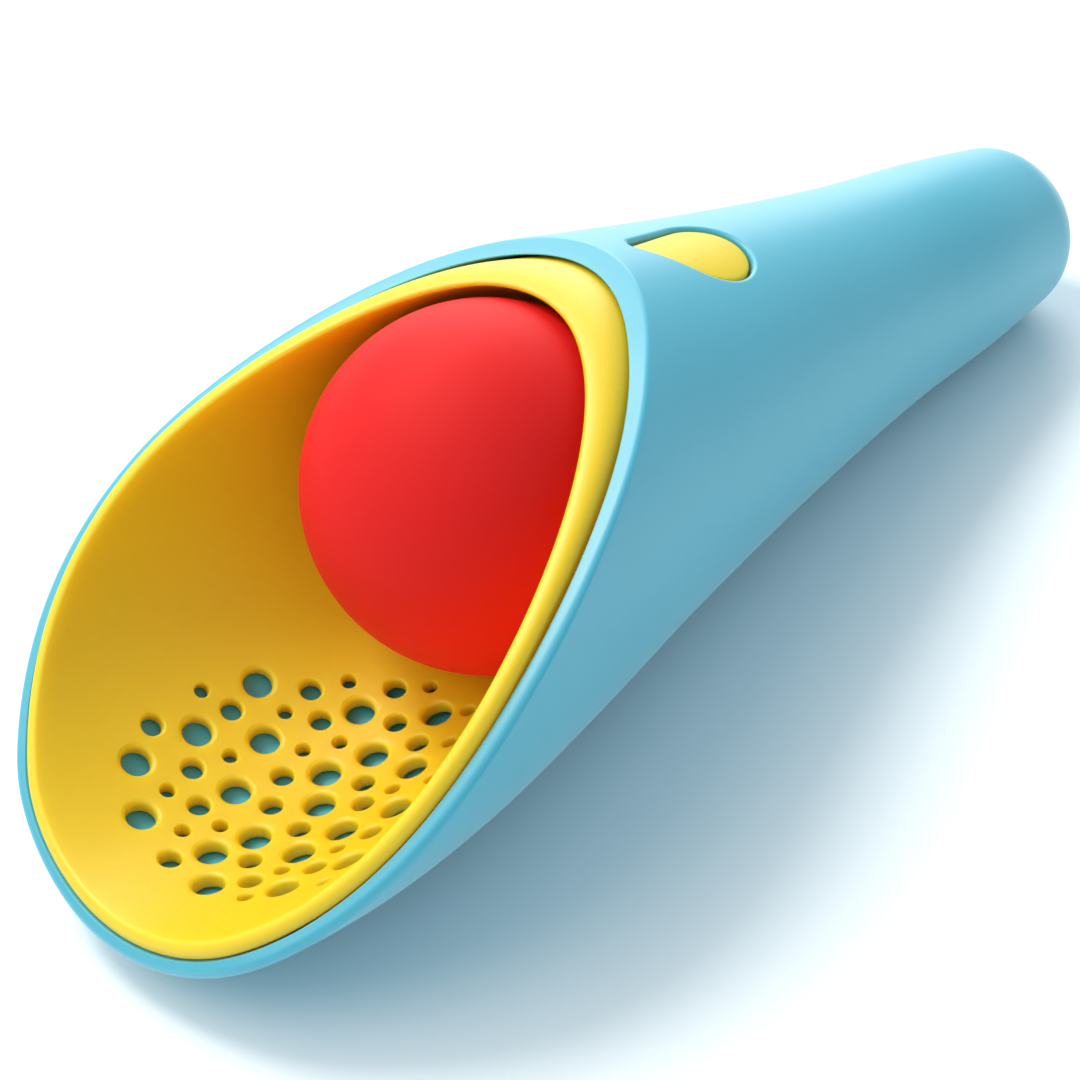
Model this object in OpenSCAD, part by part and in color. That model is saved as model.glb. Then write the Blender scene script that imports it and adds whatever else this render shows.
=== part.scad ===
/* [Scoop] */
// Length of the scoop along its axis, from the round end of the grip to the tip of the mouth
scoop_len = 236; // [215:1:255]
// Diameter of the grip where its round end begins
grip_d = 34.4; // [30:0.2:38]
// Largest diameter of the scoop
belly_d = 100.4; // [94:0.2:108]
// Length of the round end of the grip
grip_end_len = 12; // [8:0.5:16]
// Thickness of the scoop's wall
scoop_wall = 2.8; // [2.2:0.1:3.2]
// Depth of the two small flats on which the scoop lies, under the belly and under the grip
rest_flat = 0.3; // [0.2:0.05:0.5]

/* [Mouth] */
// Distance along the axis from the middle of the ball's seat back to the back of the mouth
mouth_back_len = 25; // [23:0.5:27]
// Distance along the axis from the middle of the ball's seat forward to the mouth at mid height
mouth_side_len = 38; // [35:1:41]

/* [Sieve] */
// Thickness of the sieve's wall
sieve_wall = 2.8; // [2.2:0.1:3]
// Gap between the sieve's bowl and the scoop's wall
sieve_gap = 0.3; // [0.2:0.05:0.5]
// How far the lip stands above the scoop's rim at the back
lip_back_rise = 3; // [2:0.1:4]
// How far the lip stands above the scoop's rim at the tip
lip_tip_rise = 0.6; // [0.4:0.1:1]
// Half angle of the cone that leaves the ball's seat
throat_angle = 13; // [11:0.5:15]
// Distance along the axis from the middle of the ball's seat to where the bowl follows the scoop's wall
follow_len = 44; // [41:1:48]

/* [Collar] */
// Gap between the collar round the lip and the scoop's wall
collar_gap = 1; // [0.8:0.1:1.2]
// Depth of the collar, from the rim of the mouth down
collar_h = 7; // [6:0.5:8]
// How far the collar lies below the lip
collar_drop = 2.4; // [1.4:0.1:2.8]

/* [Perforations] */
// Distance along the axis from the middle of the ball's seat to where holes can start
holes_start = 9; // [7:0.5:11]
// Distance along the axis from where the holes end to the tip of the mouth
holes_end = 16; // [15:0.5:19]
// Length of the floor over which the holes spread
holes_len = 60; // [56:1:62]
// How far the holes spread to each side of the floor's lowest line, along its curve
holes_spread = 30; // [27:1:31]
// Diameter of the large holes
big_hole_d = 5.2; // [4.4:0.1:5.4]
// Diameter of the middle holes
mid_hole_d = 3.7; // [3:0.1:4]
// Diameter of the small holes
small_hole_d = 2.5; // [1.8:0.1:2.8]

/* [Ball] */
// Diameter of the ball
ball_d = 63; // [60:0.5:64]
// Thickness of the ball's wall
ball_wall = 2; // [1.5:0.1:3]
// Room between the middle of the ball's seat and the scoop's wall: the ball sits where the scoop is that wide
seat_room = 2.6; // [2.3:0.1:3]
// How much larger the seat's radius is than the ball's
seat_play = 1.1; // [0.8:0.1:1.4]
// Gap under the ball at rest
ball_gap = 0.3; // [0.2:0.05:0.4]

/* [Button] */
// Distance along the axis from the back of the mouth to the middle of the button's round end
button_back = 20; // [18.5:0.5:23]
// Diameter of the button's round end
button_d = 15.6; // [13:0.2:16]
// Distance from the middle of the round end to the button's tip
button_tip = 14; // [12:0.5:15]
// Radius of the button's tip
button_tip_r = 1.2; // [0.8:0.1:1.6]
// How far round the grip the button lies from the top
button_roll = 12; // [8:1:14]
// How far the button's tip turns back towards the top
button_turn = 26; // [20:1:30]
// How far the button's face lies below the outside of the grip at the round end
button_depth = 0.7; // [0.4:0.1:1]
// How far the button's face lies below the outside of the grip at the tip
tip_depth = 2.6; // [2.3:0.1:2.8]
// Gap round the button in its window
button_gap = 0.5; // [0.4:0.05:0.7]

/* [Tongue] */
// Thickness of the springy tongue that carries the button
tongue_t = 1.8; // [1.4:0.1:2.2]
// Width of the tongue between the button and its root
tongue_w = 14; // [12:0.5:15]
// Gap between the tongue and the inside of the grip
tongue_gap = 0.4; // [0.3:0.05:0.6]
// How far the tongue spreads past the button
flange_w = 1.3; // [1.1:0.1:1.6]
// Distance along the axis from the back of the mouth to where the tongue bends
bend_back = 4; // [3:0.5:5]
// Gap at the bend
bend_gap = 0.4; // [0.35:0.05:0.5]
// Length of the tongue's root, which grows out of the sieve's collar
root_len = 4; // [3.5:0.5:5]

/* [Hidden] */

// Shares of the length at which the flare is given, and the flare there
station_shares = [0.05, 0.13, 0.24, 0.38, 0.55, 0.68, 0.79, 0.89, 1, 1.06];
flare_shares = [0, 0.083, 0.165, 0.325, 0.565, 0.78, 0.935, 1, 0.955, 0.9];
// Share of the length at which the scoop is widest
belly_share = 0.89;
// The mouth's line between its named points: shares of the height and of the distance
upper_height_share = 0.78;
upper_place_share = 0.26;
lower_height_share = 0.725;
lower_place_share = 0.805;

// Faces round a full turn, and steps along the curves
$fn = 120;
mouth_steps = 36;
hole_fn = 32;
flare_steps = 44;
end_steps = 12;
cup_steps = 16;
bowl_steps = 12;
collar_steps = 10;
drop_steps = 28;
tip_steps = 6;
face_steps = 8;
solve_tries = 30;

grip_r = grip_d / 2;
belly_r = belly_d / 2;
ball_r = ball_d / 2;
seat_r = ball_r + seat_play;
button_r = button_d / 2;
// Overrun of a cut past what it cuts
over = scoop_wall;
run_len = scoop_len + over;

// A cubic between two places with given values and slopes
function cubic(x0, y0, m0, x1, y1, m1, x) =
    let (w = x1 - x0, u = (x - x0) / w)
    y0 * (1 + 2 * u) * (1 - u) * (1 - u) + m0 * w * u * (1 - u) * (1 - u)
    + y1 * u * u * (3 - 2 * u) + m1 * w * u * u * (u - 1);

// Slope of a curve at one of its stations
function slope_at(xs, ys, i) =
    let (a = max(i - 1, 0), b = min(i + 1, len(xs) - 1))
    (ys[b] - ys[a]) / (xs[b] - xs[a]);

// Smooth curve through stations
function curve(xs, ys, x, i = 0) =
    x > xs[i + 1] && i < len(xs) - 2 ? curve(xs, ys, x, i + 1)
    : cubic(xs[i], ys[i], slope_at(xs, ys, i), xs[i + 1], ys[i + 1], slope_at(xs, ys, i + 1), x);

// Outer radius of the scoop at a place along its axis
function scoop_r(t) = grip_r + (belly_r - grip_r) * curve(station_shares, flare_shares, t / scoop_len);

// Place along the axis at which the scoop has a radius
function place_of(r, low, high, tries) =
    let (mid = (low + high) / 2)
    tries == 0 ? mid
    : scoop_r(mid) < r ? place_of(r, mid, high, tries - 1)
    : place_of(r, low, mid, tries - 1);

seat_at = place_of(seat_r + sieve_wall + seat_room + scoop_wall, grip_end_len, scoop_len * belly_share, solve_tries);
mouth_back = seat_at - mouth_back_len;
mouth_side = seat_at + mouth_side_len;
follow_from = seat_at + follow_len;
holes_from = seat_at + holes_start;
holes_to = scoop_len - holes_end;
button_at = mouth_back - button_back;
bend_at = mouth_back - bend_back;

// Outline of the scoop, drawn in from the outside by a depth
function scoop_outline(depth) =
    let (end_len = grip_end_len - depth)
    concat(
        [for (i = [0:end_steps]) let (a = 90 * i / end_steps, t = grip_end_len - end_len * cos(a))
            [(scoop_r(t) - depth) * sin(a), t]],
        [for (i = [1:flare_steps]) let (t = grip_end_len + (run_len - grip_end_len) * i / flare_steps)
            [scoop_r(t) - depth, t]]);

// Inner radius of the sieve's bowl where it follows the scoop's wall
function follow_r(t) = scoop_r(t) - scoop_wall - sieve_gap - sieve_wall;
follow_slope = (follow_r(follow_from + over) - follow_r(follow_from - over)) / (2 * over);

// Radius of the sieve's bowl in front of the ball's seat, a depth outside its inner face
function bowl_r(t, depth) =
    let (r = seat_r + depth)
    t > follow_from ? follow_r(t) + depth
    : cubic(seat_at - r * sin(throat_angle), r * cos(throat_angle), tan(throat_angle),
            follow_from, follow_r(follow_from) + depth, follow_slope, t);

// Outline of the sieve, a depth outside its inner face
function sieve_outline(depth) =
    let (r = seat_r + depth, t0 = seat_at - r * sin(throat_angle))
    concat(
        [for (i = [0:cup_steps]) let (a = (90 - throat_angle) * i / cup_steps)
            [r * sin(a), seat_at - r * cos(a)]],
        [for (i = [1:bowl_steps]) let (t = t0 + (follow_from - t0) * i / bowl_steps) [bowl_r(t, depth), t]],
        [for (i = [1:bowl_steps]) let (t = follow_from + (run_len - follow_from) * i / bowl_steps)
            [bowl_r(t, depth), t]]);

// The sieve's inner outline, run on past the cut at the mouth
function inside(depth) =
    let (outline = sieve_outline(depth), last = outline[len(outline) - 1])
    concat(outline, [[last[0], last[1] + over]]);

// Solid of revolution about the scoop's axis
module spun(outline) {
    last = outline[len(outline) - 1];
    rotate([0, 90, 0])
        rotate_extrude()
            polygon(concat(outline, [[0, last[1]]]));
}

// The mouth is cut to one curved line, seen from the side: its place at a height above the axis
back_r = scoop_r(mouth_back);
tip_r = scoop_r(scoop_len);
mouth_heights = [-tip_r, -tip_r * lower_height_share, 0, back_r * upper_height_share, back_r];
mouth_places = [
    scoop_len,
    mouth_side + (scoop_len - mouth_side) * lower_place_share,
    mouth_side,
    mouth_back + (mouth_side - mouth_back) * upper_place_share,
    mouth_back];
function mouth_at(z) = curve(mouth_heights, mouth_places, z);

// A point of the mouth's line, moved outwards by a rise that changes from the tip to the back
function mouth_point(z, tip_rise, back_rise) =
    let (m = (mouth_at(z + over) - mouth_at(z - over)) / (2 * over),
         rise = tip_rise + (back_rise - tip_rise) * (z + tip_r) / (back_r + tip_r))
    [mouth_at(z), z] + rise * [1, -m] / norm([1, m]);

// Everything behind the mouth's line
module behind_mouth(tip_rise, back_rise) {
    low = -tip_r - 2 * over;
    high = back_r + 2 * over;
    line = [for (i = [0:mouth_steps]) mouth_point(low + (high - low) * i / mouth_steps, tip_rise, back_rise)];
    rotate([90, 0, 0])
        linear_extrude(height = belly_d + 2 * over, center = true)
            polygon(concat(line, [[-over, high], [-over, -belly_r - over], [line[0][0], -belly_r - over]]));
}

// The scoop lies on its grip's end and its belly: the angle at which both touch
outside = scoop_outline(0);
grip_side = [for (p = outside) if (p[1] < scoop_len / 2) p];
belly_side = [for (p = outside) if (p[1] >= scoop_len / 2 && p[1] <= scoop_len) p];
function lowest(points, angle) = min([for (p = points) p[1] * sin(angle) - p[0] * cos(angle)]);
function rest_angle(low, high, tries) =
    let (mid = (low + high) / 2)
    tries == 0 ? mid
    : lowest(grip_side, mid) > lowest(belly_side, mid) ? rest_angle(mid, high, tries - 1)
    : rest_angle(low, mid, tries - 1);
rest_tilt = rest_angle(0, 45, solve_tries);
x_low = min([for (p = outside) p[1] * cos(rest_tilt) - p[0] * sin(rest_tilt)]);
x_high = scoop_len * cos(rest_tilt) + tip_r * sin(rest_tilt);
rest_low = lowest(outside, rest_tilt) + rest_flat;
origin_shift = [-(x_low + x_high) / 2, 0, -rest_low];

// From the scoop's own axis to how it lies: the axis is x, the mouth opens upwards
module as_it_lies() {
    translate(origin_shift)
        rotate([0, -rest_tilt, 0])
            children();
}

// Everything above the plane on which the scoop lies
module above_rest() {
    rotate([0, rest_tilt, 0])
        translate([-belly_d, -belly_d, rest_low])
            cube([scoop_len + 2 * belly_d, 2 * belly_d, scoop_len]);
}

// From the scoop's axis to the button's side of the grip
module at_button() {
    rotate([-button_roll, 0, 0])
        children();
}

// Teardrop with its round end on the origin and its tip on +x, grown by a margin
function drop_outline(margin) =
    let (r = button_r + margin, tr = button_tip_r + margin, d = button_tip - button_tip_r,
         a = acos((r - tr) / d))
    concat(
        [for (i = [0:drop_steps]) let (b = a + (360 - 2 * a) * i / drop_steps) [r * cos(b), r * sin(b)]],
        [for (i = [0:tip_steps]) let (b = -a + 2 * a * i / tip_steps) [d + tr * cos(b), tr * sin(b)]]);

// Outline whose surface is the button's face: flush with the grip at the round end, deeper at the tip
face_from = button_at - button_r - button_gap;
face_to = button_at + button_tip + button_gap;
face_outline = concat([[0, face_from]],
    [for (i = [0:face_steps]) let (w = i / face_steps, t = face_from + (face_to - face_from) * w)
        [scoop_r(t) - button_depth * (1 - w) - tip_depth * w, t]]);

module drop_prism(margin) {
    translate([button_at, 0, 0])
        rotate([0, 0, -button_turn])
            linear_extrude(height = belly_r)
                polygon(drop_outline(margin));
}

module scoop() {
    color("#8fc4dc")
    difference() {
        intersection() {
            spun(outside);
            behind_mouth(0, 0);
            above_rest();
        }
        spun(concat(scoop_outline(scoop_wall), [[scoop_r(run_len) - scoop_wall, run_len + over]]));
        at_button()
            drop_prism(button_gap);
    }
}

// Perforations: share along the floor, share of the spread across it, and size
BIG_shares = [
    [0.12, 0.15], [0.25, -0.27], [0.31, 0.38], [0.33, 0.06], [0.42, -0.81], [0.46, 0.59], [0.46, -0.05],
    [0.51, -0.48], [0.55, 0.12], [0.59, 0.42], [0.65, -0.74], [0.68, -0.3], [0.7, 0.77], [0.72, 0.36],
    [0.75, 0.05], [0.85, -0.76], [0.86, 0.59], [0.87, -0.02], [0.94, -0.46], [0.96, 0.19], [0.24, 0.73],
    [0.47, 0.85]];
MID_shares = [
    [0.13, -0.24], [0.21, -0.02], [0.23, 0.24], [0.31, -0.59], [0.35, -0.38], [0.42, 0.2], [0.48, 0.34],
    [0.53, -0.75], [0.55, -0.21], [0.57, 0.64], [0.64, -0.08], [0.65, 0.19], [0.73, -0.56], [0.75, -0.9],
    [0.75, 0.59], [0.79, -0.34], [0.82, 0.19], [0.88, 0.35], [0.97, -0.12], [0.13, 0.6], [0.36, 0.83]];
SMALL_shares = [
    [0.06, -0.07], [0.07, 0.34], [0.19, 0.45], [0.21, -0.49], [0.36, -0.17], [0.4, 0.42], [0.41, -0.56],
    [0.45, -0.28], [0.57, -0.94], [0.62, -0.51], [0.66, 0.56], [0.79, -0.15], [0.8, 0.42], [0.81, 0.84],
    [0.83, -0.52], [0.88, -0.25], [0.94, 0.47], [0.33, 0.62], [0.59, 0.88]];

// Each hole runs square through the wall, and the pattern ends short of the ball
module perforations(shares, hole_d) {
    for (place = shares) let (t = holes_to - holes_len * (1 - place[0])) if (t > holes_from) {
        turn = 180 / PI * holes_spread * place[1] / follow_r(holes_to);
        lean = atan((bowl_r(t + over, 0) - bowl_r(t - over, 0)) / (2 * over));
        rotate([turn, 0, 0])
            translate([t, 0, -bowl_r(t, 0)])
                rotate([0, lean, 0])
                    cylinder(d = hole_d, h = 4 * sieve_wall, center = true, $fn = hole_fn);
    }
}

// The strip of the tongue between the button and a place further forward
module strip(from, to) {
    translate([from, -tongue_w / 2, 0])
        cube([to - from, tongue_w, belly_r]);
}

// The collar fills the space between the lip and the scoop's wall, down to a depth below the mouth
collar_from = bend_at + bend_gap;
module collar() {
    outline = [for (i = [0:collar_steps])
        let (t = collar_from + (follow_from - collar_from) * i / collar_steps)
            [scoop_r(t) - scoop_wall - collar_gap, t]];
    difference() {
        intersection() {
            spun(concat([[0, collar_from]], outline));
            behind_mouth(lip_tip_rise - collar_drop, lip_back_rise - collar_drop);
        }
        behind_mouth(-collar_h, -collar_h);
    }
}

// The tongue's root reaches back from the collar, under the neck's wall
module tongue_root() {
    at_button()
        difference() {
            intersection() {
                spun(scoop_outline(scoop_wall + tongue_gap));
                strip(collar_from, collar_from + root_len);
            }
            spun(scoop_outline(scoop_wall + tongue_gap + tongue_t));
        }
}

module sieve() {
    color("#f2c531")
    difference() {
        union() {
            intersection() {
                spun(sieve_outline(sieve_wall));
                behind_mouth(lip_tip_rise, lip_back_rise);
            }
            collar();
            tongue_root();
        }
        spun(inside(0));
        perforations(BIG_shares, big_hole_d);
        perforations(MID_shares, mid_hole_d);
        perforations(SMALL_shares, small_hole_d);
    }
}

module latch_button() {
    color("#f2c531")
    at_button() {
        difference() {
            union() {
                intersection() {
                    spun(scoop_outline(scoop_wall + tongue_gap));
                    union() {
                        drop_prism(flange_w);
                        strip(button_at, bend_at);
                    }
                }
                intersection() {
                    spun(face_outline);
                    drop_prism(0);
                }
            }
            spun(scoop_outline(scoop_wall + tongue_gap + tongue_t));
        }
    }
}

module ball() {
    color("#dd2a25")
    translate([seat_at, 0, ball_r + ball_gap - seat_r])
        difference() {
            sphere(r = ball_r);
            sphere(r = ball_r - ball_wall);
        }
}

as_it_lies() scoop();
as_it_lies() sieve();
as_it_lies() latch_button();
as_it_lies() ball();
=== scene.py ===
import math

import bpy
import numpy as np
from mathutils import Matrix, Vector


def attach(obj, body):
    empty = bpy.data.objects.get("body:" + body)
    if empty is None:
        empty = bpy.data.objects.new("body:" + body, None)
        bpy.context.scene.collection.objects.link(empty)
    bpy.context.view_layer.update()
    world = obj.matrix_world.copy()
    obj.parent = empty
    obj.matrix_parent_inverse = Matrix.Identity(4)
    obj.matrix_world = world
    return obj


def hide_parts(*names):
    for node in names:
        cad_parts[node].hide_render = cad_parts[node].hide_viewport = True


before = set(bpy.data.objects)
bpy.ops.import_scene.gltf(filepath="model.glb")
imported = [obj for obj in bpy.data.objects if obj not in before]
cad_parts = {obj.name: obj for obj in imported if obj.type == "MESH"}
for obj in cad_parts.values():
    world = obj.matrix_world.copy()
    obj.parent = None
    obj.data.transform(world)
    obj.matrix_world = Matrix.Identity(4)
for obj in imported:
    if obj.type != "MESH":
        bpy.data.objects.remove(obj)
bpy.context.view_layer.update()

# Scoop: one sky-blue moulding. A closed hollow grip that flares into a wide
# scoop, cut obliquely at the mouth, with a rounded rim and a teardrop window
# in the top of its neck. Sizes are in millimetres along its own axis.
mm = 0.001
scoop_len = 236.0
grip_r = 17.2
belly_r = 50.2
grip_end_len = 12.0
scoop_wall = 2.8
scoop_overrun = 4.0
rest_flat = 0.3
place_shares = [0.05, 0.13, 0.24, 0.38, 0.55, 0.68, 0.79, 0.89, 1, 1.06]
swell_shares = [0, 0.083, 0.165, 0.325, 0.565, 0.78, 0.935, 1, 0.955, 0.9]


def smooth_curve(xs, ys, x):
    """Cubic through stations, its slope at each taken from the stations beside it."""
    xs, ys, x = np.asarray(xs, float), np.asarray(ys, float), np.asarray(x, float)
    n = len(xs)
    a, b = np.maximum(np.arange(n) - 1, 0), np.minimum(np.arange(n) + 1, n - 1)
    slope = (ys[b] - ys[a]) / (xs[b] - xs[a])
    i = np.clip(np.searchsorted(xs, x) - 1, 0, n - 2)
    return cubic(xs[i], ys[i], slope[i], xs[i + 1], ys[i + 1], slope[i + 1], x)


def cubic(x0, y0, m0, x1, y1, m1, x):
    """Cubic from one point and slope to another."""
    w = x1 - x0
    u = (x - x0) / w
    return (y0 * (1 + 2 * u) * (1 - u) ** 2 + m0 * w * u * (1 - u) ** 2
            + y1 * u * u * (3 - 2 * u) + m1 * w * u * u * (u - 1))


def scoop_radius(t):
    """Outer radius at a place along the axis."""
    swell = smooth_curve(place_shares, swell_shares, np.asarray(t, float) / scoop_len)
    return grip_r + (belly_r - grip_r) * swell


def scoop_profile(depth, end_steps=60, side_steps=900):
    """Outline of half the scoop at a depth below its surface, from the grip's round end to past the tip."""
    a = np.linspace(0, math.pi / 2, end_steps)
    t = grip_end_len - (grip_end_len - depth) * np.cos(a)
    end = np.column_stack([t, (scoop_radius(t) - depth) * np.sin(a)])
    t = np.linspace(grip_end_len, scoop_len + scoop_overrun, side_steps)[1:]
    return np.vstack([end, np.column_stack([t, scoop_radius(t) - depth])])


def rest_tilt(steepest=math.radians(45), tries=40):
    """Angle at which grip and belly touch the floor together."""
    body = scoop_profile(0)
    t, r = body[:, 0], body[:, 1]
    grip = t < scoop_len / 2
    belly = (t >= scoop_len / 2) & (t <= scoop_len)
    low, high = 0.0, steepest
    for _ in range(tries):
        mid = (low + high) / 2
        height = t * math.sin(mid) - r * math.cos(mid)
        if height[grip].min() > height[belly].min():
            low = mid
        else:
            high = mid
    return mid


tilt = rest_tilt()
outside = scoop_profile(0)
x_low = (outside[:, 0] * math.cos(tilt) - outside[:, 1] * math.sin(tilt)).min()
x_high = scoop_len * math.cos(tilt) + float(scoop_radius(scoop_len)) * math.sin(tilt)
lift = -(outside[:, 0] * math.sin(tilt) - outside[:, 1] * math.cos(tilt)).min() - rest_flat
lie = (Matrix.Scale(mm, 4) @ Matrix.Translation((-(x_low + x_high) / 2, 0, lift))
       @ Matrix.Rotation(-tilt, 4, "Y"))

# The mouth: one curved line seen from the side, to which scoop and sieve are cut.
mouth_back = 126.085
mouth_side = 189.085
mouth_overrun = 6.0
back_r = float(scoop_radius(mouth_back))
tip_r = float(scoop_radius(scoop_len))
low_height_share = 0.725
low_place_share = 0.805
high_height_share = 0.78
high_place_share = 0.26


def mouth_line(tip_rise, back_rise, steps=700):
    """Places and heights of the mouth's edge, raised outwards by given amounts at the tip and the back."""
    heights = [-tip_r, -low_height_share * tip_r, 0, high_height_share * back_r, back_r]
    places = [scoop_len, mouth_side + low_place_share * (scoop_len - mouth_side), mouth_side,
              mouth_back + high_place_share * (mouth_side - mouth_back), mouth_back]
    z = np.linspace(-tip_r - mouth_overrun, back_r + mouth_overrun, steps)
    t = smooth_curve(heights, places, z)
    m = np.gradient(t, z)
    rise = (tip_rise + (back_rise - tip_rise) * (z + tip_r) / (back_r + tip_r)) / np.sqrt(1 + m * m)
    return t + rise, z - rise * m


def measured(path):
    """A path with the distance of each of its points from its start."""
    return path, np.concatenate([[0], np.cumsum(np.linalg.norm(np.diff(path, axis=0), axis=1))])


def along(path, dist, where):
    """Points of a measured path at given distances."""
    return np.column_stack([np.interp(where, dist, path[:, k]) for k in (0, 1)])


def cut_path(path, dist, line, turn):
    """Where the mouth's line cuts a path: its distance along it, the point, and the path's way there."""
    f = path[:, 0] - np.interp(path[:, 1] * math.cos(turn), line[1], line[0])
    behind = np.nonzero(f < 0)[0]
    k = behind.max() if len(behind) else 0
    w = f[k] / (f[k] - f[k + 1]) if len(behind) else 0
    way = path[k + 1] - path[k]
    return dist[k] + w * (dist[k + 1] - dist[k]), path[k] + w * way, way / np.linalg.norm(way)


def rounded_corner(corner, before, after, setback, steps):
    """Points of the arc that rounds a corner between two directions, both pointing away from it."""
    half = math.acos(max(-1, min(1, float(before @ after)))) / 2
    bisector = before + after
    bisector = bisector / np.linalg.norm(bisector)
    centre = corner + bisector * setback / math.cos(half)
    a = corner + before * setback - centre
    b = corner + after * setback - centre
    turn = math.pi - 2 * half
    w = np.linspace(0, 1, steps + 1)[:, None]
    return centre + (np.sin((1 - w) * turn) * a + np.sin(w * turn) * b) / math.sin(turn)


def setback_for(radius, one, other, most):
    """How far from a corner its rounding starts, at most a given length."""
    return min(radius / math.tan(math.acos(float(one @ other)) / 2), most)


rim_round = 1.7
rim_round_inside = 0.15
rim_share = 0.62
rim_share_inside = 0.34


def cut_shell(outer, inner, line, turns, outer_steps=110, corner_steps=10, rim_steps=4, inner_steps=80):
    """Columns of points round the axis: a shell of revolution cut to the mouth's line, with a rounded rim."""
    outer, outer_dist = measured(outer)
    inner, inner_dist = measured(inner)
    columns = []
    for turn in turns:
        outer_s, a, outer_way = cut_path(outer, outer_dist, line, turn)
        inner_s, b, inner_way = cut_path(inner, inner_dist, line, turn)
        width = np.linalg.norm(b - a)
        across = (b - a) / width
        back_a = setback_for(rim_round, -outer_way, across, rim_share * width)
        back_b = setback_for(rim_round_inside, across, inner_way, rim_share_inside * width)
        corner_a = rounded_corner(a, -outer_way, across, back_a, corner_steps)
        corner_b = rounded_corner(b, -across, -inner_way, back_b, corner_steps)
        w = np.linspace(0, 1, rim_steps + 1)[1:-1, None]
        columns.append(np.vstack([
            along(outer, outer_dist, np.linspace(0, outer_s - back_a, outer_steps + 1)[:-1]),
            corner_a, corner_a[-1] * (1 - w) + corner_b[0] * w, corner_b,
            along(inner, inner_dist, np.linspace(inner_s - back_b, 0, inner_steps + 1)[1:])]))
    return np.array(columns)


def add_mesh(name, points, faces):
    """Object from points in the scoop's own frame, set as it lies, with its faces turned outwards."""
    mesh = bpy.data.meshes.new(name)
    mesh.from_pydata([tuple(lie @ Vector(p)) for p in points], [], faces)
    volume = 0.0
    for f in mesh.polygons:
        c = [mesh.vertices[v].co for v in f.vertices]
        for k in range(1, len(c) - 1):
            volume += c[0].dot(c[k].cross(c[k + 1]))
    if volume < 0:
        mesh.flip_normals()
    mesh.polygons.foreach_set("use_smooth", [True] * len(mesh.polygons))
    mesh.update()
    obj = bpy.data.objects.new(name, mesh)
    bpy.context.scene.collection.objects.link(obj)
    return obj


def shell_of_columns(name, columns, turns):
    """Closed mesh from columns of places and radii, the first and last point of each on the axis."""
    n, m = len(turns), columns.shape[1] - 2
    points = [(columns[0, 0, 0], 0, 0)]
    for k in range(n):
        s, c = math.sin(turns[k]), math.cos(turns[k])
        points += [(t, r * s, r * c) for t, r in columns[k, 1:-1]]
    points.append((columns[0, -1, 0], 0, 0))
    faces = []
    for k in range(n):
        a, b = 1 + k * m, 1 + ((k + 1) % n) * m
        faces.append((0, b, a))
        faces += [(a + j, b + j, b + j + 1, a + j + 1) for j in range(m - 1)]
        faces.append((a + m - 1, b + m - 1, len(points) - 1))
    return add_mesh(name, points, faces)


shell_sides = 240
turns = np.linspace(0, 2 * math.pi, shell_sides, endpoint=False)
scoop_columns = cut_shell(scoop_profile(0), scoop_profile(scoop_wall), mouth_line(0, 0), turns)
scoop = shell_of_columns("scoop_shell", scoop_columns, turns)
for v in scoop.data.vertices:
    v.co.z = max(v.co.z, 0)

# The window: a cutter whose sides follow the neck's surface and flare out to round its edge.
button_at = mouth_back - 20
button_r = 7.8
button_tip = 14.0
button_tip_r = 1.2
button_roll = math.radians(12)
button_turn = math.radians(26)
button_gap = 0.5
window_round = 1.0
window_overrun = 5.0
window_flare = 0.6


def drop_outline(margin, round_steps=64, tip_steps=12, side_steps=8):
    """Teardrop with its round end on the button's place and its tip turned back to the top."""
    r, tip, far = button_r + margin, button_tip_r + margin, button_tip - button_tip_r
    a = math.acos((r - tip) / far)
    round_end = np.linspace(a, 2 * math.pi - a, round_steps + 1)
    point = np.linspace(-a, a, tip_steps + 1)
    w = np.linspace(0, 1, side_steps + 1)[1:-1, None]
    p = np.column_stack([r * np.cos(round_end), r * np.sin(round_end)])
    q = np.column_stack([far + tip * np.cos(point), tip * np.sin(point)])
    flat = np.vstack([p, p[-1] * (1 - w) + q[0] * w, q, q[-1] * (1 - w) + p[0] * w])
    c, s = math.cos(-button_turn), math.sin(-button_turn)
    return flat @ np.array([[c, s], [-s, c]]) + [button_at, 0]


def over_neck(plan, depth):
    """A plan point near the button, set at a depth below the neck's surface, turned to the button's side."""
    x, y = plan
    z = math.sqrt(max(float(scoop_radius(x)) ** 2 - y * y, 0)) - depth
    c, s = math.cos(button_roll), math.sin(button_roll)
    return (x, y * c + z * s, z * c - y * s)


def loft(name, rings, cap_first, cap_last):
    """Closed mesh through rings of points, its ends closed to a middle point."""
    n = len(rings[0])
    points = [p for ring in rings for p in ring] + [cap_first, cap_last]
    faces = []
    for k in range(len(rings) - 1):
        for j in range(n):
            a, b = k * n + j, k * n + (j + 1) % n
            faces.append((a, b, b + n, a + n))
    last = (len(rings) - 1) * n
    for j in range(n):
        faces.append((len(points) - 2, (j + 1) % n, j))
        faces.append((last + j, last + (j + 1) % n, len(points) - 1))
    return add_mesh(name, points, faces)


def window_cutter(name, steps=8):
    """Teardrop block through the neck's wall, flared at the outer face."""
    top, bottom = -window_overrun, scoop_wall + window_overrun
    rings = [[over_neck(p, top) for p in drop_outline(button_gap + window_round + window_flare)]]
    for a in np.linspace(0, math.pi / 2, steps + 1):
        margin = button_gap + window_round * (1 - math.sin(a))
        rings.append([over_neck(p, window_round * (1 - math.cos(a))) for p in drop_outline(margin)])
    rings.append([over_neck(p, bottom) for p in drop_outline(button_gap)])
    return loft(name, rings, over_neck((button_at, 0), top), over_neck((button_at, 0), bottom))


crisp_angle = math.radians(21)


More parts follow.
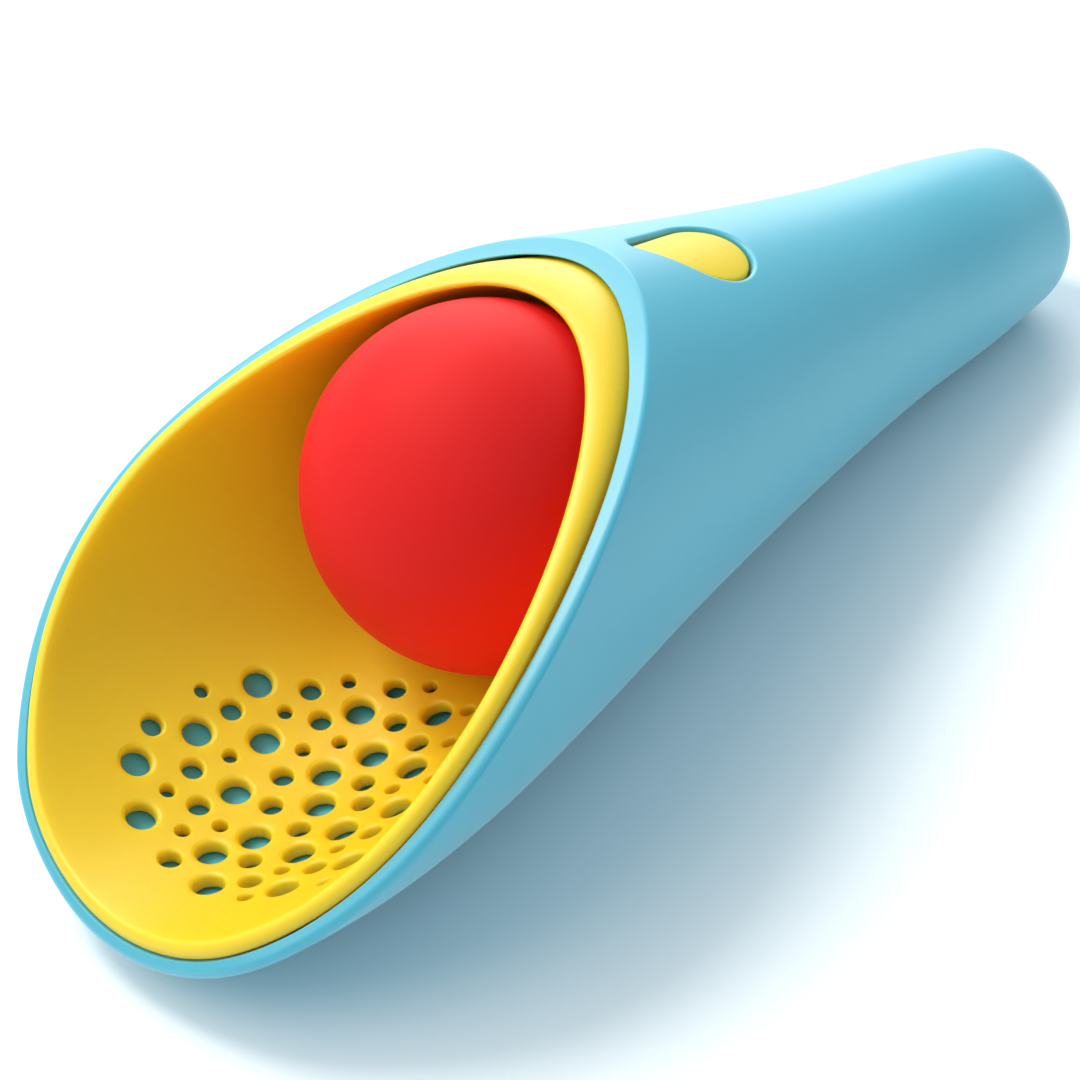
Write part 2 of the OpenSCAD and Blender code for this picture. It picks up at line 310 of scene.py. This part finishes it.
def finished(obj, *spent):
    """Works an object's modifiers into its mesh, keeps its edges crisp and removes what they used."""
    mesh = bpy.data.meshes.new_from_object(obj.evaluated_get(bpy.context.evaluated_depsgraph_get()))
    obj.modifiers.clear()
    obj.data = mesh
    mesh.name = obj.name
    mesh.set_sharp_from_angle(angle=crisp_angle)
    for o in spent:
        bpy.data.objects.remove(o)


window = window_cutter("window_cutter")
cut = scoop.modifiers.new("window", "BOOLEAN")
cut.operation = "DIFFERENCE"
cut.solver = "EXACT"
cut.object = window
finished(scoop, window)


def moulded_plastic(name, colour, roughness, shine, glow, depth, sheen, grain=0.00022, mottle=0.04):
    """Matte moulded plastic: faint mottling in colour and gloss, the fine grain of an etched mould, and
    some light let through. Depth and grain are in metres."""
    mat = bpy.data.materials.new(name)
    mat.use_nodes = True
    nodes, links = mat.node_tree.nodes, mat.node_tree.links
    shader = nodes["Principled BSDF"]
    shader.inputs["Specular IOR Level"].default_value = shine
    shader.inputs["Sheen Weight"].default_value = sheen
    shader.inputs["Sheen Roughness"].default_value = 0.4
    shader.inputs["Subsurface Weight"].default_value = glow
    shader.inputs["Subsurface Scale"].default_value = depth
    shader.inputs["Subsurface Radius"].default_value = colour
    place = nodes.new("ShaderNodeTexCoord")
    cloud = nodes.new("ShaderNodeTexNoise")
    cloud.inputs["Scale"].default_value = 38
    cloud.inputs["Detail"].default_value = 3
    links.new(place.outputs["Object"], cloud.inputs["Vector"])
    tone = nodes.new("ShaderNodeMix")
    tone.data_type = "RGBA"
    tone.inputs["A"].default_value = (*[c * (1 - mottle) for c in colour], 1)
    tone.inputs["B"].default_value = (*[min(1, c * (1 + mottle)) for c in colour], 1)
    links.new(cloud.outputs["Fac"], tone.inputs["Factor"])
    links.new(tone.outputs["Result"], shader.inputs["Base Color"])
    gloss = nodes.new("ShaderNodeMapRange")
    gloss_spread = 0.05
    gloss.inputs["To Min"].default_value = roughness - gloss_spread
    gloss.inputs["To Max"].default_value = roughness + gloss_spread
    links.new(cloud.outputs["Fac"], gloss.inputs["Value"])
    links.new(gloss.outputs["Result"], shader.inputs["Roughness"])
    fine = nodes.new("ShaderNodeTexNoise")
    fine.inputs["Scale"].default_value = 1 / grain
    fine.inputs["Detail"].default_value = 2
    links.new(place.outputs["Object"], fine.inputs["Vector"])
    bump = nodes.new("ShaderNodeBump")
    bump.inputs["Strength"].default_value = 0.12
    bump.inputs["Distance"].default_value = 0.00003
    links.new(fine.outputs["Fac"], bump.inputs["Height"])
    links.new(bump.outputs["Normal"], shader.inputs["Normal"])
    return mat


blue = moulded_plastic("sky_blue_plastic", colour=(0.045, 0.43, 0.56), roughness=0.45, shine=1.0,
                       glow=0.4, depth=0.004, sheen=0.45)
scoop.data.materials.clear()
scoop.data.materials.append(blue)
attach(scoop, "scoop")
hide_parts("scoop")

# Sieve: one warm-yellow moulding that sits inside the scoop, where the latch
# button holds it. A round cup for the ball at the back opens into a bowl with
# perforations of three sizes, and its lip closes it against the scoop's wall.
sieve_wall = 2.8
sieve_gap = 0.3
sieve_overrun = 6.0
ball_r = 31.5
seat_r = 32.6
seat_at = mouth_back + 25
throat = math.radians(13)
follow_from = seat_at + 44


def follow_radius(t):
    """Radius of the bowl's inside where it follows the scoop's wall."""
    return scoop_radius(t) - scoop_wall - sieve_gap - sieve_wall


def sieve_profile(depth, cup_steps=160, bowl_steps=300, front_steps=120):
    """The ball's cup, then a bowl that swings out to follow the scoop's wall."""
    r = seat_r + depth
    a = np.linspace(0, math.pi / 2 - throat, cup_steps)
    cup = np.column_stack([seat_at - r * np.cos(a), r * np.sin(a)])
    mouth_t, mouth_r = cup[-1]
    before, after = follow_from - sieve_wall, follow_from + sieve_wall
    slope = float(follow_radius(after) - follow_radius(before)) / (after - before)
    t = np.linspace(mouth_t, follow_from, bowl_steps)[1:]
    end_r = float(follow_radius(follow_from)) + depth
    bowl = cubic(mouth_t, mouth_r, math.tan(throat), follow_from, end_r, slope, t)
    front = np.linspace(follow_from, scoop_len + sieve_overrun, front_steps)[1:]
    front_r = follow_radius(front) + depth
    return np.vstack([cup, np.column_stack([t, bowl]), np.column_stack([front, front_r])])


# The lip has its crest at the inner edge and rolls over outwards to the scoop's wall. At the
# back of the mouth a collar carries it over the space between the ball's cup and the scoop.
lip_tip_rise = 0.6
lip_back_rise = 3.0
crest_round = 1.1
edge_round = 0.2
edge_drop = 0.3
shoulder_share = 0.5
collar_gap = 0.6
collar_h = 7.0
collar_from = mouth_back - 3.6
collar_overrun = 2.0
collar_skin = 0.02
sieve_outer, outer_dist = measured(sieve_profile(sieve_wall))
sieve_inner, inner_dist = measured(sieve_profile(0))
collar_t = np.linspace(collar_from, scoop_len + collar_overrun, 800)
bowl_side = np.interp(collar_t, *sieve_outer.T)
collar_side = np.maximum(scoop_radius(collar_t) - scoop_wall - collar_gap, bowl_side + collar_skin)
bowl_path, bowl_dist = measured(np.column_stack([collar_t, bowl_side]))
collar_path, collar_dist = measured(np.column_stack([collar_t, collar_side]))
lip_line = mouth_line(lip_tip_rise, lip_back_rise)
edge_line = mouth_line(-edge_drop, 0)
foot_line = mouth_line(-collar_h, -collar_h)


def sieve_column(turn, outer_steps=80, collar_steps=9, edge_steps=6, slope_steps=15, crest_steps=8,
                 inner_steps=96):
    """One column of the sieve's skin: up its outside, out to the collar, over the lip and down the inside."""
    root_t = cut_path(bowl_path, bowl_dist, foot_line, turn)[1][0]
    root_s = np.interp(root_t, sieve_outer[:, 0], outer_dist)
    foot_s = cut_path(collar_path, collar_dist, foot_line, turn)[0]
    edge_s, edge, edge_way = cut_path(collar_path, collar_dist, edge_line, turn)
    inner_s, inner_rim, inner_way = cut_path(sieve_inner, inner_dist, lip_line, turn)
    out = cut_path(sieve_outer, outer_dist, lip_line, turn)[1] - inner_rim
    width = np.linalg.norm(out)
    out = out / width
    back = setback_for(crest_round, -out, inner_way, rim_share_inside * width)
    crest = rounded_corner(inner_rim, out, -inner_way, back, crest_steps)
    shoulder = crest[0] + out * shoulder_share * np.linalg.norm(edge - crest[0])
    up = (shoulder - edge) / np.linalg.norm(shoulder - edge)
    corner = rounded_corner(edge, -edge_way, up, edge_round, edge_steps)
    w = np.linspace(0, 1, slope_steps + 1)[1:-1, None]
    return np.vstack([
        along(sieve_outer, outer_dist, np.linspace(0, root_s, outer_steps)),
        along(collar_path, collar_dist, np.linspace(foot_s, edge_s - edge_round, collar_steps)[:-1]),
        corner, corner[-1] * (1 - w) ** 2 + 2 * shoulder * w * (1 - w) + crest[0] * w * w, crest,
        along(sieve_inner, inner_dist, np.linspace(inner_s - back, 0, inner_steps + 1)[1:])])


sieve = shell_of_columns("sieve_bowl", np.array([sieve_column(turn) for turn in turns]), turns)

# Perforations by their radius: share along the floor, share of the spread across it.
holes_to = 220.0
holes_len = 60.0
holes_spread = 30.0
lean_step = 0.5
hole_shares = {
    2.6: [(0.12, 0.15), (0.25, -0.27), (0.31, 0.38), (0.33, 0.06), (0.42, -0.81), (0.46, 0.59),
          (0.46, -0.05), (0.51, -0.48), (0.55, 0.12), (0.59, 0.42), (0.65, -0.74), (0.68, -0.3),
          (0.7, 0.77), (0.72, 0.36), (0.75, 0.05), (0.85, -0.76), (0.86, 0.59), (0.87, -0.02),
          (0.94, -0.46), (0.96, 0.19), (0.24, 0.73), (0.47, 0.85)],
    1.85: [(0.13, -0.24), (0.21, -0.02), (0.23, 0.24), (0.31, -0.59), (0.35, -0.38), (0.42, 0.2),
           (0.48, 0.34), (0.53, -0.75), (0.55, -0.21), (0.57, 0.64), (0.64, -0.08), (0.65, 0.19),
           (0.73, -0.56), (0.75, -0.9), (0.75, 0.59), (0.79, -0.34), (0.82, 0.19), (0.88, 0.35),
           (0.97, -0.12), (0.13, 0.6), (0.36, 0.83)],
    1.25: [(0.06, -0.07), (0.07, 0.34), (0.19, 0.45), (0.21, -0.49), (0.36, -0.17), (0.4, 0.42),
           (0.41, -0.56), (0.45, -0.28), (0.57, -0.94), (0.62, -0.51), (0.66, 0.56), (0.79, -0.15),
           (0.8, 0.42), (0.81, 0.84), (0.83, -0.52), (0.88, -0.25), (0.94, 0.47), (0.33, 0.62),
           (0.59, 0.88)],
}


def perforation_tree(name):
    """Puts a cutter on each hole's place, turned and sized by the point, and cuts them all from the bowl."""
    tree = bpy.data.node_groups.new(name, "GeometryNodeTree")
    face = tree.interface
    face.new_socket("Geometry", in_out="INPUT", socket_type="NodeSocketGeometry")
    face.new_socket("Places", in_out="INPUT", socket_type="NodeSocketObject")
    face.new_socket("Cutter", in_out="INPUT", socket_type="NodeSocketObject")
    face.new_socket("Depth scale", in_out="INPUT", socket_type="NodeSocketFloat")
    face.new_socket("Finish", in_out="INPUT", socket_type="NodeSocketMaterial")
    face.new_socket("Geometry", in_out="OUTPUT", socket_type="NodeSocketGeometry")
    n, links = tree.nodes, tree.links
    inputs, outputs = n.new("NodeGroupInput"), n.new("NodeGroupOutput")
    places, cutter = n.new("GeometryNodeObjectInfo"), n.new("GeometryNodeObjectInfo")
    links.new(inputs.outputs["Places"], places.inputs["Object"])
    links.new(inputs.outputs["Cutter"], cutter.inputs["Object"])
    size = n.new("GeometryNodeInputNamedAttribute")
    size.data_type = "FLOAT"
    size.inputs["Name"].default_value = "hole_radius"
    way = n.new("GeometryNodeInputNamedAttribute")
    way.data_type = "FLOAT_VECTOR"
    way.inputs["Name"].default_value = "hole_way"
    turn = n.new("FunctionNodeAlignRotationToVector")
    turn.axis = "Z"
    links.new(way.outputs["Attribute"], turn.inputs["Vector"])
    scale = n.new("ShaderNodeCombineXYZ")
    links.new(size.outputs["Attribute"], scale.inputs["X"])
    links.new(size.outputs["Attribute"], scale.inputs["Y"])
    links.new(inputs.outputs["Depth scale"], scale.inputs["Z"])
    put = n.new("GeometryNodeInstanceOnPoints")
    links.new(places.outputs["Geometry"], put.inputs["Points"])
    links.new(cutter.outputs["Geometry"], put.inputs["Instance"])
    links.new(turn.outputs["Rotation"], put.inputs["Rotation"])
    links.new(scale.outputs["Vector"], put.inputs["Scale"])
    solid = n.new("GeometryNodeRealizeInstances")
    links.new(put.outputs["Instances"], solid.inputs["Geometry"])
    cut = n.new("GeometryNodeMeshBoolean")
    cut.operation = "DIFFERENCE"
    cut.solver = "EXACT"
    links.new(inputs.outputs["Geometry"], cut.inputs["Mesh 1"])
    links.new(solid.outputs["Geometry"], cut.inputs["Mesh 2"])
    whole = n.new("GeometryNodeRealizeInstances")
    links.new(cut.outputs["Mesh"], whole.inputs["Geometry"])
    finish = n.new("GeometryNodeSetMaterial")
    links.new(whole.outputs["Geometry"], finish.inputs["Geometry"])
    links.new(inputs.outputs["Finish"], finish.inputs["Material"])
    links.new(finish.outputs["Geometry"], outputs.inputs["Geometry"])
    return tree


def set_inputs(modifier, **values):
    """Sets a Geometry Nodes modifier's inputs by their names."""
    for item in modifier.node_group.interface.items_tree:
        name = item.name.replace(" ", "_")
        if item.item_type == "SOCKET" and item.in_out == "INPUT" and name in values:
            modifier[item.identifier] = values[name]


def helper_object(name, points, faces):
    """Object that only the perforations use, removed after them."""
    mesh = bpy.data.meshes.new(name)
    mesh.from_pydata(points, [], faces)
    mesh.polygons.foreach_set("use_smooth", [True] * len(mesh.polygons))
    obj = bpy.data.objects.new(name, mesh)
    bpy.context.scene.collection.objects.link(obj)
    return obj


def hole_points(name):
    """A point on the bowl's inside for each hole, with its radius and its way through the wall."""
    spots, ways, radii = [], [], []
    profile = sieve_profile(0)
    for radius, shares in hole_shares.items():
        for share, across in shares:
            t = holes_to - holes_len * (1 - share)
            turn = holes_spread * across / float(follow_radius(holes_to))
            r = np.interp([t - lean_step, t, t + lean_step], profile[:, 0], profile[:, 1])
            lean = math.atan((r[2] - r[0]) / (2 * lean_step))
            out = Vector((-math.sin(lean), math.sin(turn) * math.cos(lean), -math.cos(turn) * math.cos(lean)))
            spots.append(tuple(lie @ Vector((t, r[1] * math.sin(turn), -r[1] * math.cos(turn)))))
            ways.extend(lie.to_3x3().normalized() @ out)
            radii.append(radius * mm)
    obj = helper_object(name, spots, [])
    obj.data.attributes.new("hole_radius", "FLOAT", "POINT").data.foreach_set("value", radii)
    obj.data.attributes.new("hole_way", "FLOAT_VECTOR", "POINT").data.foreach_set("vector", ways)
    return obj


# The cutter has radius 1 and its depth in millimetres. It flares at both faces of the wall, which
# rounds every edge, and starts a little before the face.
hole_flare = 0.42
flare_from = 0.3
flare_steps = 6
edge_depth = 0.8
edge_lead = 0.11
lead_size = 1.6
lead_h = 1.2


def hole_cutter(name, sides=40):
    """Round cutter from in front of the wall's inner face to behind its outer face."""
    rings = [(lead_size, -lead_h)]
    for a in np.linspace(flare_from, math.pi / 2, flare_steps + 1):
        rings.append((1 + hole_flare * (1 - math.sin(a)), edge_depth * (1 - math.cos(a)) - edge_lead))
    rings += [(r, sieve_wall - d) for r, d in reversed(rings)]
    step = 2 * math.pi / sides
    points = [(r * math.cos(step * j), r * math.sin(step * j), d) for r, d in rings for j in range(sides)]
    faces = []
    for k in range(len(rings) - 1):
        for j in range(sides):
            a, b = k * sides + j, k * sides + (j + 1) % sides
            faces.append((a, b, b + sides, a + sides))
    faces.append(tuple(reversed(range(sides))))
    faces.append(tuple((len(rings) - 1) * sides + j for j in range(sides)))
    return helper_object(name, points, faces)


yellow = moulded_plastic("warm_yellow_plastic", colour=(0.95, 0.60, 0.006), roughness=0.45, shine=0.6,
                         glow=0.6, depth=0.008, sheen=0)
sieve.data.materials.append(yellow)
places = hole_points("hole_places")
cutter = hole_cutter("hole_cutter")
holes = sieve.modifiers.new("perforations", "NODES")
holes.node_group = perforation_tree("perforations")
set_inputs(holes, Places=places, Cutter=cutter, Depth_scale=mm, Finish=yellow)
finished(sieve, places, cutter)
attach(sieve, "sieve")
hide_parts("sieve")

# Latch button: the teardrop push button in the scoop's window, on a springy
# tongue under the neck's wall. It is the same yellow moulding as the sieve,
# which it joins at the tongue's root.
button_depth = 0.6
tip_depth = 1.2
tongue_t = 1.8
tongue_w = 14.0
tongue_gap = 0.4
flange_w = 1.3
bend_at = mouth_back - 4
bend_gap = 0.4
root_len = 3.2
root_from = bend_at + bend_gap
root_to = root_from + root_len
root_middle = np.array([(root_from + root_to) / 2, 0])
pad_round = 0.5
pad_sunk = 0.6
pad_middle = np.array([button_at + 2, -1.0])
tongue_middle = np.array([button_at + 8, 0])
face_from = button_at - button_r - button_gap
face_to = button_at + button_tip + button_gap
tongue_top = scoop_wall + tongue_gap
tongue_low = tongue_top + tongue_t


def face_depth(x):
    """Depth of the button's face below the neck's surface, more towards the tip."""
    w = ((x - face_from) / (face_to - face_from)) ** 2
    return button_depth * (1 - w) + tip_depth * w


def button_pad(name, round_steps=6, face_steps=9):
    """The button's face with its rounded edge, and its sides, which end inside the tongue."""
    foot = tongue_top + pad_sunk
    rings = [[over_neck(p, foot) for p in drop_outline(0)]]
    for a in np.linspace(0, math.pi / 2, round_steps + 1):
        outline = drop_outline(-pad_round * (1 - math.cos(a)))
        rings.append([over_neck(p, face_depth(p[0]) + pad_round * (1 - math.sin(a))) for p in outline])
    for share in np.linspace(0, 1, face_steps + 1)[1:-1]:
        outline = drop_outline(-pad_round) * (1 - share) + pad_middle * share
        rings.append([over_neck(p, face_depth(p[0])) for p in outline])
    return loft(name, rings, over_neck(pad_middle, foot), over_neck(pad_middle, face_depth(pad_middle[0])))


def tongue_outline(round_steps=48, side_steps=19, end_steps=10):
    """Plan of the tongue: a round end under the button, then a strip that runs to the bend."""
    r = button_r + flange_w
    a = math.asin(tongue_w / 2 / r)
    round_end = np.linspace(a, 2 * math.pi - a, round_steps + 1)
    p = np.column_stack([button_at + r * np.cos(round_end), r * np.sin(round_end)])
    x = np.linspace(p[-1][0], bend_at, side_steps + 1)[1:]
    low = np.column_stack([x, np.full(len(x), -tongue_w / 2)])
    y = np.linspace(-tongue_w / 2, tongue_w / 2, end_steps + 1)[1:-1]
    end = np.column_stack([np.full(len(y), bend_at), y])
    x = np.linspace(bend_at, p[0][0], side_steps + 1)[:-1]
    return np.vstack([p, low, end, np.column_stack([x, np.full(len(x), tongue_w / 2)])])


def plate(name, plan, middle, shares):
    """Plate of the tongue's thickness over a plan, its two faces closed in rings to the middle."""
    rings = []
    for share, depth in [(s, tongue_top) for s in reversed(shares)] + [(s, tongue_low) for s in shares]:
        rings.append([over_neck(p * (1 - share) + middle * share, depth) for p in plan])
    return loft(name, rings, over_neck(middle, tongue_top), over_neck(middle, tongue_low))


def root_outline(steps=12):
    """Plan of the root: the strip of the tongue beyond the bend, which belongs to the sieve."""
    y = np.linspace(-tongue_w / 2, tongue_w / 2, steps)
    near = np.column_stack([np.full(steps, root_from), y])
    far = np.column_stack([np.full(steps, root_to), y[::-1]])
    return np.vstack([near, far])


pad = button_pad("button_pad")
tongue = plate("button_tongue", tongue_outline(), tongue_middle, (0, 0.25, 0.5, 0.75))
root = plate("tongue_root", root_outline(), root_middle, (0,))
button_crisp = math.radians(35)
for piece, body, slot in ((pad, "button", "latch_button"), (tongue, "button", "latch_button"),
                          (root, "sieve", "sieve")):
    piece.data.materials.append(yellow)
    piece.data.set_sharp_from_angle(angle=button_crisp)
    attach(piece, body)
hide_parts("latch_button")

# Ball: a hollow red plastic ball, loose in the sieve's cup. It is welded from
# two half shells, which leaves a faint seam round it.
ball_gap = 0.3
ball_wall = 2.0
ball_at = Vector((seat_at, 0, ball_r + ball_gap - seat_r))
ball_sides = 180
seam_h = 0.01
seam_w = 0.5
seam_turn = Matrix.Rotation(math.radians(38), 3, "Y") @ Matrix.Rotation(math.radians(35), 3, "Z")


def ball_shell(radius, bulge):
    """Half outline of a sphere from pole to pole, with close steps at the seam, where it may bulge."""
    degrees = np.concatenate([np.linspace(0, 84, 57), np.linspace(85, 95, 31), np.linspace(96, 180, 57)])
    a = np.radians(degrees)
    r = radius + bulge * np.exp(-((degrees - 90) / seam_w) ** 2)
    return np.column_stack([r * np.cos(a), r * np.sin(a)])


points, faces = [], []
for column, inwards in ((ball_shell(ball_r, seam_h), False), (ball_shell(ball_r - ball_wall, 0), True)):
    first = len(points)
    m = len(column) - 2
    for u in np.linspace(0, 2 * math.pi, ball_sides, endpoint=False):
        points += [(z, r * math.cos(u), r * math.sin(u)) for z, r in column[1:-1]]
    points += [(column[0, 0], 0, 0), (column[-1, 0], 0, 0)]
    for k in range(ball_sides):
        a, b = first + k * m, first + ((k + 1) % ball_sides) * m
        quads = [(a + j, b + j, b + j + 1, a + j + 1) for j in range(m - 1)]
        quads += [(len(points) - 2, b, a), (a + m - 1, b + m - 1, len(points) - 1)]
        faces += [tuple(reversed(q)) for q in quads] if inwards else quads
ball = add_mesh("play_ball", [seam_turn @ Vector(p) + ball_at for p in points], faces)
red = moulded_plastic("red_plastic", colour=(0.76, 0.010, 0.009), roughness=0.62, shine=0.2,
                      glow=0.4, depth=0.003, sheen=0)
ball.data.materials.append(red)
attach(ball, "ball")
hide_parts("ball")

# Floor, light and camera: a plain pale floor, soft daylight from the upper
# left, and the photograph's viewing angle. Places are in metres.
floor_half = 4.0
floor_mesh = bpy.data.meshes.new("floor")
floor_mesh.from_pydata([(x * floor_half, y * floor_half, 0) for x, y in ((-1, -1), (1, -1), (1, 1), (-1, 1))],
                       [], [(0, 1, 2, 3)])
floor = bpy.data.objects.new("floor", floor_mesh)
bpy.context.scene.collection.objects.link(floor)
paper = bpy.data.materials.new("pale_floor")
paper.use_nodes = True
paper.node_tree.nodes["Principled BSDF"].inputs["Base Color"].default_value = (0.96, 0.97, 0.98, 1)
paper.node_tree.nodes["Principled BSDF"].inputs["Roughness"].default_value = 0.8
floor_mesh.materials.append(paper)

world = bpy.data.worlds.new("daylight")
bpy.context.scene.world = world
world.use_nodes = True
sky = world.node_tree.nodes["Background"]
sky.inputs["Color"].default_value = (0.72, 0.89, 1, 1)
sky.inputs["Strength"].default_value = 0.62

light_aim = Vector((0, 0, 0.03))


def soft_light(name, at, size, power, colour):
    """Round soft box aimed at the middle of the toy."""
    lamp = bpy.data.lights.new(name, "AREA")
    lamp.shape = "DISK"
    lamp.size = size
    lamp.energy = power
    lamp.color = colour
    obj = bpy.data.objects.new(name, lamp)
    obj.location = at
    obj.rotation_euler = (light_aim - Vector(at)).to_track_quat("-Z", "Y").to_euler()
    bpy.context.scene.collection.objects.link(obj)


soft_light("key_light", at=(0.7, -0.55, 1.2), size=1.6, power=10, colour=(1, 0.92, 0.82))
soft_light("rim_light", at=(0.1, -0.7, 1.2), size=0.5, power=9, colour=(1, 0.97, 0.93))
soft_light("back_light", at=(-1.1, -1.1, 0.8), size=1.3, power=18, colour=(1, 1, 1))

photo_width = 1080
focal_length_in_pixels = 2313.4
lens = bpy.data.cameras.new("camera")
lens.sensor_width = 36
lens.lens = focal_length_in_pixels / photo_width * lens.sensor_width
camera = bpy.data.objects.new("camera", lens)
camera.location = (0.2115, 0.2418, 0.2793)
camera.rotation_euler = [math.radians(a) for a in (49.841, 7.119, 135.582)]
bpy.context.scene.collection.objects.link(camera)
bpy.context.scene.camera = camera
bpy.context.scene.view_settings.view_transform = "Standard"
